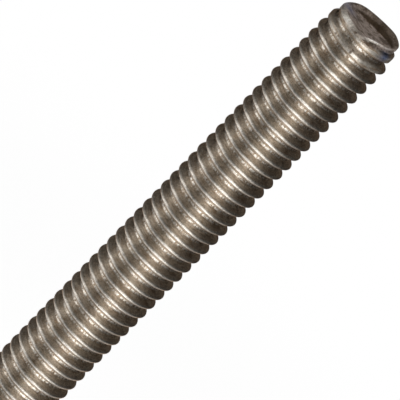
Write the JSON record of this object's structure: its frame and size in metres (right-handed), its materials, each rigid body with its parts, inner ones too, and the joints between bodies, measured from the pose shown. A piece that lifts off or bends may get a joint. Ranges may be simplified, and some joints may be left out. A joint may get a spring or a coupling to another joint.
{
  "type": "threaded rod",
  "caption": "Short round steel rod with a rolled external thread along its whole length, a lead-in taper at both ends and a shallow cup in the upper end face.",
  "frame": {"origin": "middle of the lower end face, on the rod's axis", "axes": "+Z along the rod towards its cupped upper end; +X and +Y are square to the axis. The upper end's cut is highest 28 degrees from +X towards +Y, and the groove runs out of it on the -Y side"},
  "size_m": [0.0092, 0.0092, 0.1016],
  "materials": {
    "steel": "plain rolled stainless steel, dull grey-brown flanks with bright burnished crests and roots"
  },
  "bodies": {
    "root": {"threaded_rod": "steel"}
  },
  "joints": []
}
